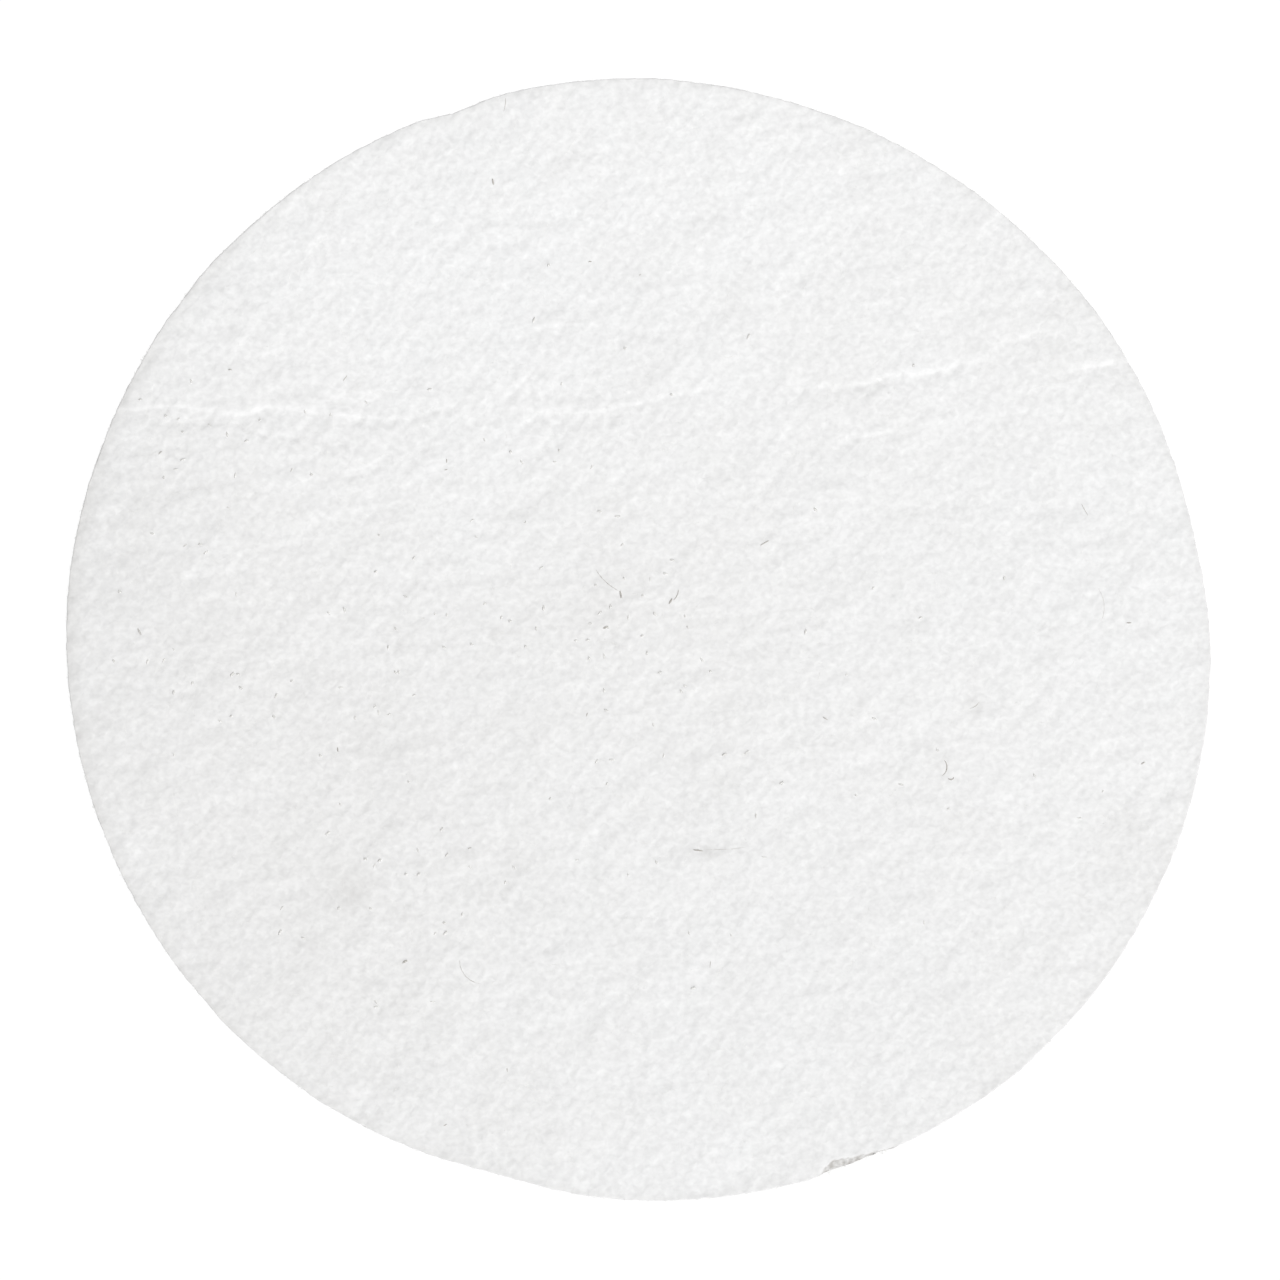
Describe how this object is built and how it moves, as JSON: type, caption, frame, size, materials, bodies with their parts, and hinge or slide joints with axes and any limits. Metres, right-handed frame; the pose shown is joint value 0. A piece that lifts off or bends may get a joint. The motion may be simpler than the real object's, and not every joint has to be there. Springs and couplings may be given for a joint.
{
  "type": "felt polishing disc",
  "caption": "Soft white felt polishing disc for a flat lap, with an adhesive film and a peel-off paper liner on its back.",
  "frame": {"origin": "centre of the release liner's underside, which is the face the stored disc lies on", "axes": "+Z out of the polishing face; +X and +Y lie in the plane of the disc"},
  "size_m": [0.1536, 0.1506, 0.0033],
  "materials": {
    "white_felt": "matte",
    "adhesive": "gloss",
    "liner_paper": "satin"
  },
  "bodies": {
    "liner": {"release_liner": "liner_paper"},
    "disc": {"felt_pad": "white_felt", "adhesive_film": "adhesive"}
  },
  "joints": [
    {"name": "liner_release", "type": "slide", "parent": "liner", "child": "disc", "axis": [0, 0, 1], "range_m": [0, 0.03]}
  ]
}
